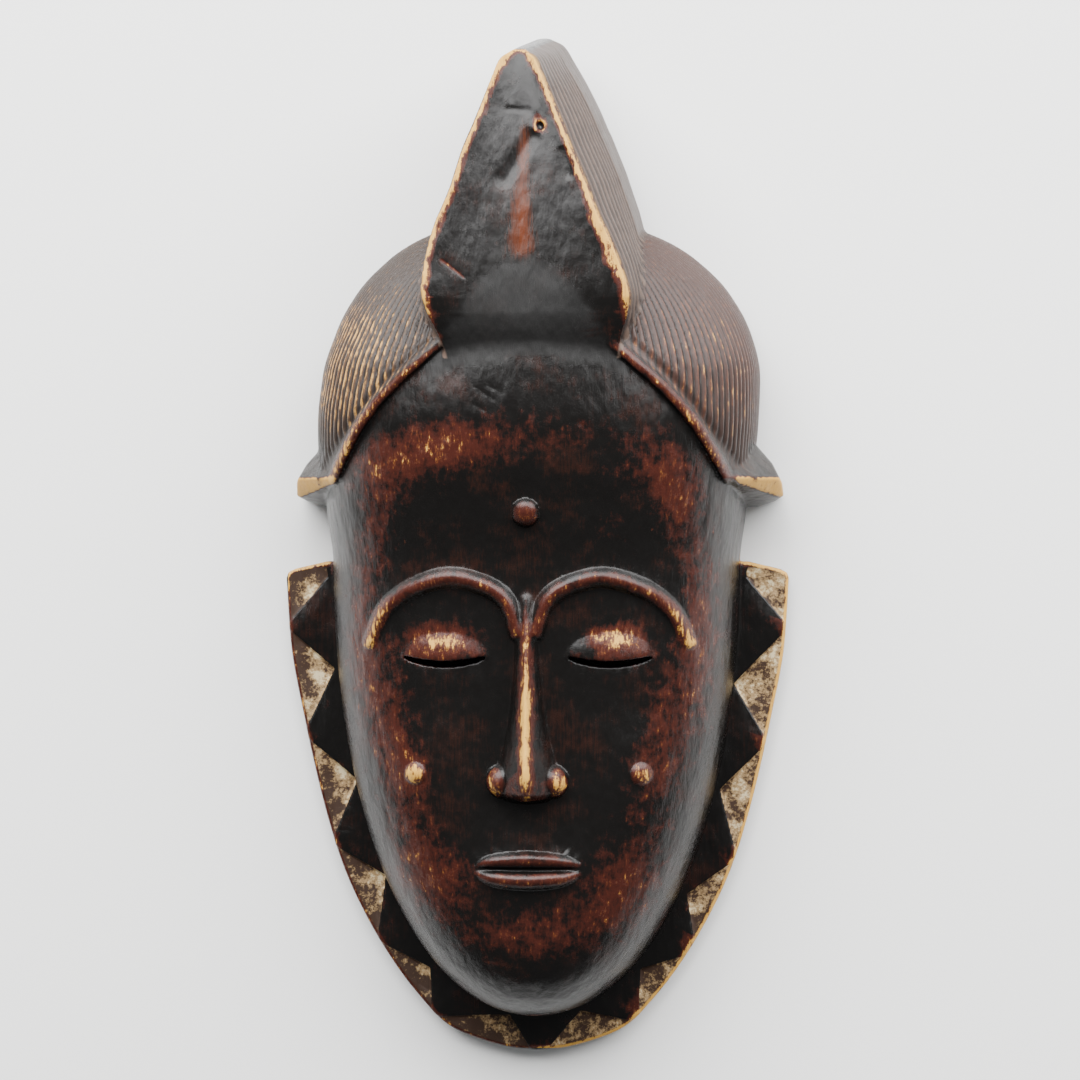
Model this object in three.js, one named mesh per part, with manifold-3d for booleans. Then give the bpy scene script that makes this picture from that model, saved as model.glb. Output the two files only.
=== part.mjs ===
// A face mask carved from one block of wood: a hollow shell with a face in relief, ridged hair
// fanning from a tall grooved crest, two small hair lobes at the temples and a flat border with
// sunk triangles around cheeks and chin. It lies on its back rim with the face up.
// Frame in millimetres: +X to the viewer's right, +Y to the crest, +Z out of the face, rim on Z = 0,
// origin at the middle of the outline box on the rim plane.
import * as THREE from 'three';
import { mergeVertices } from 'three/addons/utils/BufferGeometryUtils.js';
import Module from 'manifold-3d';

// Head: cross-sections from chin to dome. [y, half width, height, squareness, middle in x]
// Below OVAL_FROM the half width is that of a plain oval, five eye widths across at the eyes.
const EYE_HALF = 15;
const FACE_HALF = 76;
const OVAL_FROM = -8;
const OVAL_TO = -176.4;
const OVAL_POWER = 2.1;
const HEAD = [
  [-176.2, 0, 15.0, 2.4, 0],
  [-175.2, 0, 24.0, 2.4, 0],
  [-171.5, 0, 36.0, 2.5, 0],
  [-165.0, 0, 45.0, 2.5, 0],
  [-155.0, 0, 52.5, 2.6, 0],
  [-143.0, 0, 57.0, 2.6, 0],
  [-128.0, 0, 59.0, 2.7, 0],
  [-108.0, 0, 60.5, 2.8, 0],
  [-84.0, 0, 62.0, 2.8, 0],
  [-50.0, FACE_HALF, 65.0, 2.8, 0],
  [-8.0, FACE_HALF, 69.0, 2.8, 0],
  [12.0, 78.3, 73.0, 2.8, 0],
  [32.0, 79.5, 77.5, 2.7, 0.2],
  [48.0, 80.3, 79.0, 2.6, 0.7],
  [62.0, 79.8, 78.3, 2.5, 1.7],
  [78.0, 75.7, 74.5, 2.4, 2.4],
  [92.5, 67.9, 68.0, 2.3, 2.3],
  [104.5, 56.2, 58.5, 2.2, 2.0],
  [113.0, 42.0, 48.0, 2.2, 1.7],
  [118.5, 27.0, 36.0, 2.2, 1.5],
  [121.0, 10.0, 22.0, 2.2, 1.5],
];
const HEAD_COLUMNS = 20;

// Hollow back
const WALL_SIDE = 12;
const WALL_FRONT = 13;
const HOLLOW_FROM = -161;
const HOLLOW_TO = 90;
const HOLLOW_STEPS = 12;

// Hair: ridges on planes through a line along Y at this height, between rim and crest
const HAIR_AXIS_Z = 30;
const RIDGE_ANGLE = 2.5;
const HAIR_BACK_ANGLE = -20;
const RIDGE_TOP = 2.2;
const RIDGE_FOOT = 1.0;
const PLAIN_STRIP = 6;
const HAIR_TOP_Y = 118;
// Past this y the hair and the crest cover the head, which is carved deeper there
const COVERED_Y = 85;
const COVERED_LESS = 3;
const HAIR_ROWS = 8;
// Lower edge of the hair. [angle about the hair axis, y]
const HAIR_EDGE = [
  [-22, 15],
  [0, 18],
  [10.5, 25],
  [21.8, 35],
  [30.3, 46],
  [41.8, 59],
  [54.3, 71],
  [62, 75],
];
const ROLL_RADIUS = 2.7;

// Crest: sections from base to tip, leaning back. [y at the front, front half width, front z, widest half]
const CREST = [
  [64.5, 29.5, 76.6, 33.0],
  [72, 31.2, 77.6, 35.6],
  [78, 33.6, 79.2, 38.4],
  [83.5, 36.2, 80.5, 40.4],
  [89, 37.4, 80.9, 41.0],
  [97, 36.0, 80.3, 40.0],
  [109, 32.4, 79.0, 36.2],
  [123, 26.6, 77.2, 30.8],
  [141, 19.9, 74.5, 23.8],
  [159, 12.8, 71.0, 16.2],
  [169, 9.0, 68.8, 11.0],
  [175, 6.4, 67.0, 7.6],
  [177.5, 3.4, 66.0, 3.8],
];
const CREST_BACK_Z = 15;
const CREST_LEAN = 0.2;
// Turn about the height, growing from none at the base, and how far it bends to the left: half way up, then to the tip
const CREST_TURN = -8;
const CREST_LEFT = [1.2, 1.3];
const CREST_TURN_Z = 42;
const CREST_X = 2.5;
const CREST_DISH = 2.0;
const CREST_ARCH = 6;
// How much lower its front lies at the corners of the base, where it follows the forehead
const CREST_DROP = 3.2;
const CREST_GROOVES = 10;
const CREST_GROOVE_DEPTH = 0.9;

// Border around cheeks and chin: outer edge of one half, from the top corner to the chin. [x, y]
const BORDER = [
  [94.4, -13.0],
  [92.8, -37.0],
  [87.3, -67.0],
  [79.6, -100.0],
  [72.6, -122.0],
  [62.6, -143.0],
  [46.6, -167.0],
  [30.8, -182.3],
  [9.0, -189.2],
  [0, -190.0],
];
// Its shoulder, from the head to the top corner. [x, y]
const SHOULDER = [
  [0, -6.5],
  [79, -6.8],
  [91, -9.6],
  [93.7, -11.0],
];
const BORDER_STEPS = 20;
const BORDER_THICK = 8.5;
const BORDER_BEVEL = 1.3;
// Sunk triangles, from the shoulder to the chin. [start and end of the base, point, all along the edge, depth inwards]
const TRIANGLES_RIGHT = [
  [19.5, 61.0, 43.0, 16.0],
  [63.0, 105.5, 83.3, 12.5],
  [107.9, 141.8, 127.0, 11.0],
  [147.5, 176.2, 162.5, 10.8],
  [179.4, 214.0, 197.3, 12.0],
];
const TRIANGLES_LEFT = [
  [19.2, 57.4, 37.1, 15.0],
  [60.9, 99.7, 80.4, 14.5],
  [102.7, 140.7, 120.6, 13.5],
  [142.5, 175.1, 161.8, 10.0],
  [177.5, 216.0, 205.0, 12.0],
];
// The half triangle in the corner ends here along the edge, and has its inner point here. [x, y]
const CORNER_END = 17;
const CORNER_POINT = [78.6, -12.5];
// Depth of the floor at the edge and at the point
const TRIANGLE_SUNK = [0.5, 1.6];

// Hair lobes at the temples: outline of the right one, from above. The left one stands out less. [x, y]
const LOBE = [
  [72, 38],
  [81, 38],
  [88.4, 29.5],
  [91.9, 22.5],
  [92.4, 17.8],
  [88.9, 15.6],
  [78, 12.2],
  [70, 14],
];
const LOBE_BACK_Z = 13;
// Its three faces towards the front: flared top, worn end and underside. [x, y, z] on it, then its slopes
const LOBE_FACES = [
  [72, 24, 51, -1.2, -1.4],
  [72, 24, 51, -1.2, 1.0],
  [74, 22.5, 47.1, -0.23, 4],
];
const LOBE_LESS = 3.5;

// Face, on plain thirds between hairline and chin
const FACE_TOP = 67;
const FACE_LONG = 238;
const EYE_X = 2 * EYE_HALF;
const BROW_Y = FACE_TOP - FACE_LONG * 0.345;
const SLIT_Y = FACE_TOP - FACE_LONG * 0.455;
const NOSE_BASE_Y = FACE_TOP - FACE_LONG * 0.667;
const MOUTH_Y = FACE_TOP - FACE_LONG * 0.778;
const NOSE_HALF = 14.5;
const NOSE_HIGH = 15;
const MOUTH_HALF = 21;
const SLIT_GAP = 2.4;

const rad = (degrees) => (degrees * Math.PI) / 180;
const wasm = await Module();
wasm.setup();

// Smooth curve through a table's rows, without overshoot, by a column of the table.
function along(table, at, column) {
  const n = table.length;
  const dir = table[n - 1][0] > table[0][0] ? 1 : -1;
  if ((at - table[0][0]) * dir <= 0) return table[0][column];
  if ((at - table[n - 1][0]) * dir >= 0) return table[n - 1][column];
  let i = 0;
  while ((at - table[i + 1][0]) * dir > 0) i += 1;
  const slope = (k) => (table[k + 1][column] - table[k][column]) / (table[k + 1][0] - table[k][0]);
  const tangent = (k) => {
    if (k === 0) return slope(0);
    if (k === n - 1) return slope(n - 2);
    const before = slope(k - 1);
    const after = slope(k);
    return before * after <= 0 ? 0 : (2 * before * after) / (before + after);
  };
  const wide = table[i + 1][0] - table[i][0];
  const t = (at - table[i][0]) / wide;
  const t2 = t * t;
  const t3 = t2 * t;
  return (
    (2 * t3 - 3 * t2 + 1) * table[i][column] +
    (t3 - 2 * t2 + t) * wide * tangent(i) +
    (3 * t2 - 2 * t3) * table[i + 1][column] +
    (t3 - t2) * wide * tangent(i + 1)
  );
}

// Closed body from positions and triangles, faces out.
function body(positions, triangles) {
  let volume = 0;
  const p = (i) => new THREE.Vector3().fromArray(positions, i * 3);
  for (let i = 0; i < triangles.length; i += 3) {
    volume += p(triangles[i]).dot(p(triangles[i + 1]).cross(p(triangles[i + 2])));
  }
  if (volume < 0) triangles.reverse();
  return new wasm.Manifold(
    new wasm.Mesh({
      numProp: 3,
      vertProperties: new Float32Array(positions),
      triVerts: new Uint32Array(triangles),
    }),
  );
}

// Body through closed loops with as many points each, with a fan over either end.
function loft(loops) {
  const n = loops[0].length;
  const positions = loops.flat(2);
  const triangles = [];
  for (let i = 0; i + 1 < loops.length; i += 1) {
    for (let j = 0; j < n; j += 1) {
      const k = (j + 1) % n;
      triangles.push(i * n + j, i * n + k, (i + 1) * n + k, i * n + j, (i + 1) * n + k, (i + 1) * n + j);
    }
  }
  const middle = (loop) => [0, 1, 2].map((c) => loop.reduce((sum, point) => sum + point[c], 0) / n);
  const last = loops.length - 1;
  positions.push(...middle(loops[0]), ...middle(loops[last]));
  for (let j = 0; j < n; j += 1) {
    const k = (j + 1) % n;
    triangles.push(loops.length * n, k, j, loops.length * n + 1, last * n + j, last * n + k);
  }
  return body(positions, triangles);
}

const mirrored = (points) => points.map(([x, y, z]) => [-x, y, z]);
const both = (make) => [make(1), make(-1)];

// Distance from the section's centre to the head's surface at y, towards an angle.
function reach(half, high, square, centre, angle) {
  let near = 0;
  let far = 200;
  for (let i = 0; i < 40; i += 1) {
    const r = (near + far) / 2;
    const x = Math.abs(r * Math.cos(angle)) / half;
    const z = Math.max(0, centre + r * Math.sin(angle)) / high;
    if (x ** square + z ** square < 1) near = r;
    else far = r;
  }
  return near;
}
const oval = (y) => FACE_HALF * Math.max(0, 1 - ((OVAL_FROM - y) / (OVAL_FROM - OVAL_TO)) ** OVAL_POWER) ** (1 / OVAL_POWER);
const head = (y) => [y < OVAL_FROM ? oval(Math.max(y, HEAD[0][0])) : along(HEAD, y, 1), along(HEAD, y, 2), along(HEAD, y, 3)];
const middleAt = (y) => along(HEAD, y, 4);

// Height of the plain head over a place in the front view.
function surface(x, y) {
  const [half, high, square] = head(y);
  return high * Math.max(0, 1 - Math.min(1, Math.abs(x - middleAt(y)) / half) ** square) ** (1 / square);
}
function outward(x, y) {
  const d = 0.4;
  return new THREE.Vector3(
    (surface(x - d, y) - surface(x + d, y)) / (2 * d),
    (surface(x, y - d) - surface(x, y + d)) / (2 * d),
    1,
  ).normalize();
}
function raised(x, y, by) {
  const n = outward(x, y);
  return [x + n.x * by, y + n.y * by, surface(x, y) + n.z * by];
}

// Section of a shell from rim to rim over the front, closed below the rim plane.
function section(y, half, high, square, columns) {
  const centre = 0.4 * high;
  const first = Math.atan2(-centre, half);
  const shift = middleAt(y);
  const loop = [[half + shift, y, -5]];
  for (let j = 0; j <= columns; j += 1) {
    const angle = first + ((Math.PI - 2 * first) * j) / columns;
    const r = reach(half, high, square, centre, angle);
    const onRim = j === 0 || j === columns;
    loop.push([
      shift + (onRim ? Math.sign(Math.cos(angle)) * half : r * Math.cos(angle)),
      y,
      onRim ? 0 : centre + r * Math.sin(angle),
    ]);
  }
  loop.push([shift - half, y, -5]);
  return loop;
}

// Plain head
const headRows = [];
for (let i = 0; i < HEAD.length; i += 1) {
  headRows.push(HEAD[i][0]);
  if (i + 1 < HEAD.length && HEAD[i + 1][0] - HEAD[i][0] > 22) headRows.push((HEAD[i][0] + HEAD[i + 1][0]) / 2);
}
let mask = loft(
  headRows.map((y) => {
    const [half, high, square] = head(y);
    const less = y > COVERED_Y ? COVERED_LESS : 0;
    return section(y, half - less, high - less, square, HEAD_COLUMNS);
  }),
);

// Border plate with a worn bevel on its outer edge
const borderCurve = new THREE.CatmullRomCurve3(
  BORDER.map(([x, y]) => new THREE.Vector3(x, y, 0)),
  false,
  'centripetal',
);
const borderLength = borderCurve.getLength();
function borderAt(s) {
  const t = Math.min(1, Math.max(0, s / borderLength));
  const p = borderCurve.getPointAt(t);
  const d = borderCurve.getTangentAt(t);
  return { x: p.x, y: p.y, inX: d.y, inY: -d.x };
}
function borderLoop(z, inset) {
  const half = SHOULDER.map(([x, y], i) => [x - (inset * i) / 3, y - inset * (1 - (i * i) / 18), z]);
  for (let i = 0; i <= BORDER_STEPS; i += 1) {
    const p = borderAt((borderLength * i) / BORDER_STEPS);
    const last = i === BORDER_STEPS;
    half.push([last ? 0 : p.x + p.inX * inset, p.y + (last ? inset : p.inY * inset), z]);
  }
  return [...half, ...mirrored(half.slice(1, -1)).reverse()];
}
mask = mask.add(
  loft([
    borderLoop(-5, 0),
    borderLoop(BORDER_THICK - BORDER_BEVEL, 0),
    borderLoop(BORDER_THICK, BORDER_BEVEL),
  ]),
);

// Hair on one side: two columns a ridge, rows from the crest down to the lower edge
function hair(side) {
  const first = HAIR_BACK_ANGLE;
  const ridges = Math.round((HAIR_EDGE[HAIR_EDGE.length - 1][0] - first) / RIDGE_ANGLE);
  const top = [];
  for (let i = 0; i <= 2 * ridges; i += 1) {
    const angle = first + (i * RIDGE_ANGLE) / 2;
    const low = along(HAIR_EDGE, angle, 1);
    const row = [];
    for (let j = 0; j <= HAIR_ROWS; j += 1) {
      const share = 1 - ((HAIR_ROWS - Math.max(1, j)) / (HAIR_ROWS - 1)) ** 1.5;
      const y = j === 0 ? low : low + PLAIN_STRIP + (HAIR_TOP_Y - low - PLAIN_STRIP) * share;
      const [half, high, square] = head(y);
      const up = i % 2 === 1 && j > 0 ? RIDGE_TOP : RIDGE_FOOT;
      const r = reach(half, high, square, HAIR_AXIS_Z, rad(angle)) + up;
      row.push([middleAt(y) + side * r * Math.cos(rad(angle)), y, HAIR_AXIS_Z + r * Math.sin(rad(angle))]);
    }
    top.push(row);
  }
  const wide = HAIR_ROWS + 1;
  const positions = top.flat(2);
  const triangles = [];
  const at = (i, j) => i * wide + j;
  for (let i = 0; i + 1 < top.length; i += 1) {
    for (let j = 0; j < HAIR_ROWS; j += 1) {
      triangles.push(at(i, j), at(i + 1, j), at(i + 1, j + 1), at(i, j), at(i + 1, j + 1), at(i, j + 1));
    }
  }
  const rim = [];
  for (let i = 0; i < top.length; i += 1) rim.push(at(i, 0));
  for (let j = 1; j < wide; j += 1) rim.push(at(top.length - 1, j));
  for (let i = top.length - 2; i >= 0; i -= 1) rim.push(at(i, wide - 1));
  for (let j = wide - 2; j > 0; j -= 1) rim.push(at(0, j));
  positions.push(side * 30, 62, 32);
  const inner = positions.length / 3 - 1;
  rim.forEach((a, i) => triangles.push(rim[(i + 1) % rim.length], a, inner));
  return body(positions, triangles);
}
both(hair).forEach((half) => {
  mask = mask.add(half);
});

// A raised strip lying on the head along places in the front view. [x, y, half width, height]
function strip(path, side, sunk = 2) {
  const centre = path.map(([x, y]) => new THREE.Vector3(side * x, y, surface(x, y)));
  return loft(
    path.map(([x, y, half, high], i) => {
      const before = centre[Math.max(0, i - 1)];
      const after = centre[Math.min(path.length - 1, i + 1)];
      const out = outward(side * x, y);
      const across = after.clone().sub(before).cross(out).normalize();
      const point = (a, b) => {
        const q = centre[i].clone().addScaledVector(across, a * half).addScaledVector(out, b);
        return q.toArray();
      };
      return [point(-1.1, -sunk), point(-1, 0), point(-0.62, high * 0.78), point(0, high), point(0.62, high * 0.78), point(1, 0), point(1.1, -sunk)];
    }),
  );
}
function smooth(table, steps) {
  const path = [];
  for (let i = 0; i <= steps; i += 1) {
    const t = table[0][0] + ((table[table.length - 1][0] - table[0][0]) * i) / steps;
    path.push(table[0].slice(1).map((_, c) => along(table, t, c + 1)));
  }
  return path;
}

// Rolled hairline from the crest's corner to the lobe. [step, x, y, half width, height]
const ROLL = [
  [0, 31.5, 72.5, ROLL_RADIUS, 2.6],
  [1, 39.5, 65.5, ROLL_RADIUS, 3.2],
  [2, 47.5, 58.5, ROLL_RADIUS, 3.3],
  [3, 59.5, 45.5, ROLL_RADIUS, 3.3],
  [4, 66.8, 34.5, ROLL_RADIUS, 3.1],
  [5, 72.6, 24.0, ROLL_RADIUS, 2.6],
];
both((side) => strip(smooth(ROLL, 8), side, 3)).forEach((roll) => {
  mask = mask.add(roll);
});

// Hair lobes: flared wings standing out from the temples
function lobe(side) {
  const out = (x) => side * (x - (side < 0 ? LOBE_LESS : 0));
  let wing = loft([
    LOBE.map(([x, y]) => [out(x), y, LOBE_BACK_Z - (x - 72) * 0.55]),
    LOBE.map(([x, y]) => [out(x), y, 90]),
  ]);
  LOBE_FACES.forEach(([x, y, z, slopeX, slopeY]) => {
    const over = (u, v) => z + slopeX * (u - x) + slopeY * (v - y);
    const corners = [
      [55, 5],
      [105, 5],
      [105, 45],
      [55, 45],
    ];
    wing = wing.subtract(
      loft([
        corners.map(([u, v]) => [out(u), v, over(u, v)]),
        corners.map(([u, v]) => [out(u), v, 300]),
      ]),
    );
  });
  return wing;
}
both(lobe).forEach((one) => {
  mask = mask.add(one);
});

// Crest: leaning sections, dished front, grooved sides, turned a little about Y
function crestLoop([frontY, front, frontZ, widest]) {
  const lean = CREST_LEAN * Math.min(1, Math.max(0, (frontY - 80) / 60));
  const fade = Math.min(1, Math.max(0, (frontY - 74) / 16));
  const arch = CREST_ARCH * Math.min(1, Math.max(0, (86 - frontY) / 20));
  const tip = Math.min(1, Math.max(0, (CREST[CREST.length - 1][0] - frontY) / 18));
  const side = [];
  const points = CREST_GROOVES * 2;
  for (let i = 0; i <= points; i += 1) {
    const q = (i / points) * 0.66;
    const groove = i % 2 === 1 ? CREST_GROOVE_DEPTH * tip : 0;
    const out = Math.sin((Math.PI / 2) * Math.min(1, q / 0.5));
    side.push([front + (widest - front) * out - groove, frontZ - (frontZ - CREST_BACK_Z) * q]);
  }
  side.push([front + (widest - front) * 0.9, frontZ - (frontZ - CREST_BACK_Z) * 0.85]);
  side.push([widest * 0.72, CREST_BACK_Z + 0.5]);
  side.push([widest * 0.3, CREST_BACK_Z - 1.5]);
  const half = [
    [0, frontZ - CREST_DISH * fade],
    [front * 0.4, frontZ - CREST_DISH * 0.82 * fade],
    [front * 0.75, frontZ - CREST_DISH * 0.4 * fade],
    ...side,
  ];
  const drop = CREST_DROP * Math.min(1, Math.max(0, (88 - frontY) / 18));
  const fallen = half.map(([x, z]) => [x, z - drop * Math.min(1, (x / 34) ** 2)]);
  const loop = [...fallen, ...fallen.slice(1).map(([x, z]) => [-x, z]).reverse()];
  const turn = rad(CREST_TURN * Math.min(1, Math.max(0, (frontY - 71) / 45)));
  const c = Math.cos(turn);
  const s = Math.sin(turn);
  const bend = (from, over) => Math.min(1, Math.max(0, (frontY - from) / over));
  const shift = CREST_X - CREST_LEFT[0] * bend(128, 14) - CREST_LEFT[1] * bend(150, 27);
  return loop.map(([x, z]) => [
    c * x + s * (z - CREST_TURN_Z) + shift,
    frontY + lean * (frontZ - z) - arch * Math.min(1, Math.abs(x) / 36) ** 2,
    CREST_TURN_Z + c * (z - CREST_TURN_Z) - s * x * 0.35,
  ]);
}
mask = mask.add(loft(CREST.map(crestLoop)));

// Rounded boss on the head. Half-moons are cut straight below a share of their height.
function boss(x, y, halfX, halfY, high, around, rings, cutBelow = -1) {
  const loops = rings.map((r) => {
    const loop = [];
    for (let i = 0; i < around; i += 1) {
      const a = (2 * Math.PI * i) / around;
      const u = x + halfX * r * Math.cos(a);
      const v = y + halfY * Math.max(cutBelow, r * Math.sin(a));
      loop.push(raised(u, v, r >= 1 ? -0.2 : high * (1 - r ** 2.2)));
    }
    return loop;
  });
  const under = loops[0].map(([u, v, z]) => [u, v, z - 3]);
  return loft([under, ...loops]);
}

// Brow ridges: one arch over each eye, both running into the nose. [step, x, y, half width, height]
const BROW = [
  [0, 3.2, SLIT_Y + 9, 2.6, 3.6],
  [1, 7.0, BROW_Y - 6.5, 2.8, 3.8],
  [2, 14.5, BROW_Y - 0.6, 2.9, 3.7],
  [3, 27.5, BROW_Y + 2.6, 2.9, 3.5],
  [4, 41.5, BROW_Y - 1.2, 2.8, 3.2],
  [5, 52.5, BROW_Y - 9.5, 2.6, 2.7],
  [6, 58.5, BROW_Y - 21, 2.1, 1.6],
];
both((side) => strip(smooth(BROW, 12), side)).forEach((brow) => {
  mask = mask.add(brow);
});

// Nose: narrow ridge widening to the wings
const NOSE = [
  [BROW_Y - 3, 3.2, 1.5],
  [SLIT_Y + 12, 4.2, 4.2],
  [SLIT_Y + 2, 4.8, 6.4],
  [SLIT_Y - 14, 6.0, 9.4],
  [SLIT_Y - 30, 8.4, 12.6],
  [NOSE_BASE_Y + 7, 11.6, NOSE_HIGH],
  [NOSE_BASE_Y + 2, 12.0, NOSE_HIGH - 1.2],
  [NOSE_BASE_Y - 1, 9.5, NOSE_HIGH - 6],
  [NOSE_BASE_Y - 2.2, 7.0, 2],
];
mask = mask.add(
  loft(
    NOSE.map(([y, half, high]) => {
      const z = surface(0, y);
      const side = [
        [half * 1.12, -3],
        [half, 0.2],
        [half * 0.72, high * 0.48],
        [half * 0.34, high * 0.9],
      ];
      return [...side.map(([a, b]) => [a, y, z + b]), [0, y, z + high], ...side.map(([a, b]) => [-a, y, z + b]).reverse()];
    }),
  ),
);
both((side) => boss(side * (NOSE_HALF - 5), NOSE_BASE_Y + 5.5, 5.5, 6.2, 7.2, 10, [1, 0.8, 0.5, 0.2])).forEach((wing) => {
  mask = mask.add(wing);
});

// Upper lids: half-moons resting on the slits; a low ridge under each slit
both((side) => boss(side * EYE_X, SLIT_Y - 0.6, EYE_HALF + 3.5, 13, 4.6, 16, [1, 0.86, 0.6, 0.3], -0.1)).forEach((lid) => {
  mask = mask.add(lid);
});
const LOWER_LID = [
  [0, EYE_X - EYE_HALF - 1.5, SLIT_Y - 1.0, 1.2, 0.6],
  [1, EYE_X - 7, SLIT_Y - 4.0, 1.4, 1.5],
  [2, EYE_X, SLIT_Y - 4.9, 1.4, 1.7],
  [3, EYE_X + 7, SLIT_Y - 4.0, 1.4, 1.5],
  [4, EYE_X + EYE_HALF + 1.5, SLIT_Y - 1.0, 1.2, 0.6],
];
both((side) => strip(smooth(LOWER_LID, 8), side)).forEach((lid) => {
  mask = mask.add(lid);
});

// Mouth: two small lips, and a knob on the forehead and one on each cheek
const LIP = (y, bow, half, high) => [
  [0, -MOUTH_HALF, y, 0.9, 0.4],
  [1, -MOUTH_HALF * 0.55, y + bow * 0.8, half * 0.85, high * 0.85],
  [2, 0, y + bow, half, high],
  [3, MOUTH_HALF * 0.55, y + bow * 0.8, half * 0.85, high * 0.85],
  [4, MOUTH_HALF, y, 0.9, 0.4],
];
mask = mask.add(strip(smooth(LIP(MOUTH_Y + 0.8, 2.6, 3.0, 4.6), 10), 1));
mask = mask.add(strip(smooth(LIP(MOUTH_Y - 0.8, -3.4, 3.4, 5.0), 10), 1));
mask = mask.add(boss(0, BROW_Y + 26, 5.2, 5.2, 4.0, 12, [1, 0.8, 0.5, 0.2]));
both((side) => boss(side * 41, NOSE_BASE_Y + 8, 4.8, 4.8, 3.2, 12, [1, 0.8, 0.5, 0.2])).forEach((knob) => {
  mask = mask.add(knob);
});

// Sunk triangles on the border: base on the outer edge, floor falling towards the point
function chip(side, outside, inside, point) {
  const [shallow, deep] = TRIANGLE_SUNK;
  const low = [...outside, ...inside].map(([x, y]) => [side * x, y, BORDER_THICK - shallow]);
  low.push([side * point[0], point[1], BORDER_THICK - deep]);
  mask = mask.subtract(loft([low, low.map(([x, y]) => [x, y, BORDER_THICK + 3])]));
}
[
  [1, TRIANGLES_RIGHT],
  [-1, TRIANGLES_LEFT],
].forEach(([side, triangles]) => {
  const out = (s) => {
    const p = borderAt(s);
    return [p.x - p.inX * 2, p.y - p.inY * 2];
  };
  const on = (s) => [borderAt(s).x, borderAt(s).y];
  const shoulder = [SHOULDER[1][0] + 0.5, -4];
  chip(side, [on(CORNER_END), out(CORNER_END), [SHOULDER[3][0] + 2, -4]], [shoulder], CORNER_POINT);
  triangles.forEach(([from, to, at, deep]) => {
    const p = borderAt(at);
    chip(side, [on(to), out(to), out((from + to) / 2), out(from)], [on(from)], [p.x + p.inX * deep, p.y + p.inY * deep]);
  });
});

// Hollow back
const hollowRows = [];
for (let i = 0; i <= HOLLOW_STEPS; i += 1) {
  const t = -0.995 * Math.cos((Math.PI * i) / HOLLOW_STEPS);
  const y = (HOLLOW_FROM + HOLLOW_TO) / 2 + (t * (HOLLOW_TO - HOLLOW_FROM)) / 2;
  const round = Math.sqrt(1 - Math.abs(t) ** 8);
  const [half, high, square] = head(y);
  hollowRows.push(section(y, Math.max(4, half - WALL_SIDE) * round, Math.max(6, high - WALL_FRONT) * (0.35 + 0.65 * round), square, 16));
}
mask = mask.subtract(loft(hollowRows));

// Eye slits through the front wall
both((side) => {
  const loops = [];
  for (let i = 0; i <= 8; i += 1) {
    const u = -1 + i / 4;
    const x = side * EYE_X + u * EYE_HALF;
    const y = SLIT_Y - 2.4 * (1 - u * u);
    const gap = 0.35 + (SLIT_GAP / 2 - 0.35) * (1 - u * u) ** 0.5;
    loops.push([
      [x, y - gap, 25],
      [x, y + gap, 25],
      [x, y + gap, 95],
      [x, y - gap, 95],
    ]);
  }
  mask = mask.subtract(loft(loops));
});

// Everything under the rim plane goes
mask = mask.subtract(
  loft([
    [
      [-150, -250, -20],
      [150, -250, -20],
      [150, 250, -20],
      [-150, 250, -20],
    ],
    [
      [-150, -250, 0],
      [150, -250, 0],
      [150, 250, 0],
      [-150, 250, 0],
    ],
  ]),
);

const made = mask.getMesh();
let geometry = new THREE.BufferGeometry();
geometry.setAttribute('position', new THREE.Float32BufferAttribute(made.vertProperties, 3));
geometry.setIndex(Array.from(made.triVerts));
geometry = mergeVertices(geometry, 1e-4);
const kept = [];
const index = geometry.getIndex().array;
for (let i = 0; i < index.length; i += 3) {
  const [a, b, c] = [index[i], index[i + 1], index[i + 2]];
  if (a !== b && b !== c && c !== a) kept.push(a, b, c);
}
geometry.setIndex(kept);
geometry.computeBoundingBox();
const middle = geometry.boundingBox.getCenter(new THREE.Vector3());
geometry.translate(-middle.x, -middle.y, 0);
geometry.computeVertexNormals();

const wood = new THREE.MeshStandardMaterial({ name: 'stained_wood', color: 0x2a1710, roughness: 0.5, metalness: 0 });
const mesh = new THREE.Mesh(geometry, wood);
mesh.name = 'mask';
const group = new THREE.Group();
group.name = 'african_mask';
group.add(mesh);
export default group;
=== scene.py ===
import math

import bpy
import numpy as np
import openvdb
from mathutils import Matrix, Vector


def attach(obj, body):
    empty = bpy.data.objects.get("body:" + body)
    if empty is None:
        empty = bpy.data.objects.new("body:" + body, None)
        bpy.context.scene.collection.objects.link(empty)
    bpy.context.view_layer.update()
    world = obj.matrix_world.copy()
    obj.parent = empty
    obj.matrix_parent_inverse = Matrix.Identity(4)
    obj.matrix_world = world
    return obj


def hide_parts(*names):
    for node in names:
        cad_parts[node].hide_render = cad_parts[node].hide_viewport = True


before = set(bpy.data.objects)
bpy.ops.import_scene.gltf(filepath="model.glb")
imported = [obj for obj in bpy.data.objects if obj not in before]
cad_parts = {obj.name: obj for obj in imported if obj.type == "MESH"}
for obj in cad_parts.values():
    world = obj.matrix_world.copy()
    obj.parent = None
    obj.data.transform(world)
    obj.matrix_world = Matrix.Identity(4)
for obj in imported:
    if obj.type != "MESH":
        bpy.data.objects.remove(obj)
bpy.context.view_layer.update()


# The mask: one block of wood, carved with adze and knife. A hollow shell carries the face in relief,
# ridged hair fanning from a tall crest with grooved sides, two hair lobes and a flat border with
# sunk triangles. It lies on its flat back rim, face up. All sizes in this section are millimetres.

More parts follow.
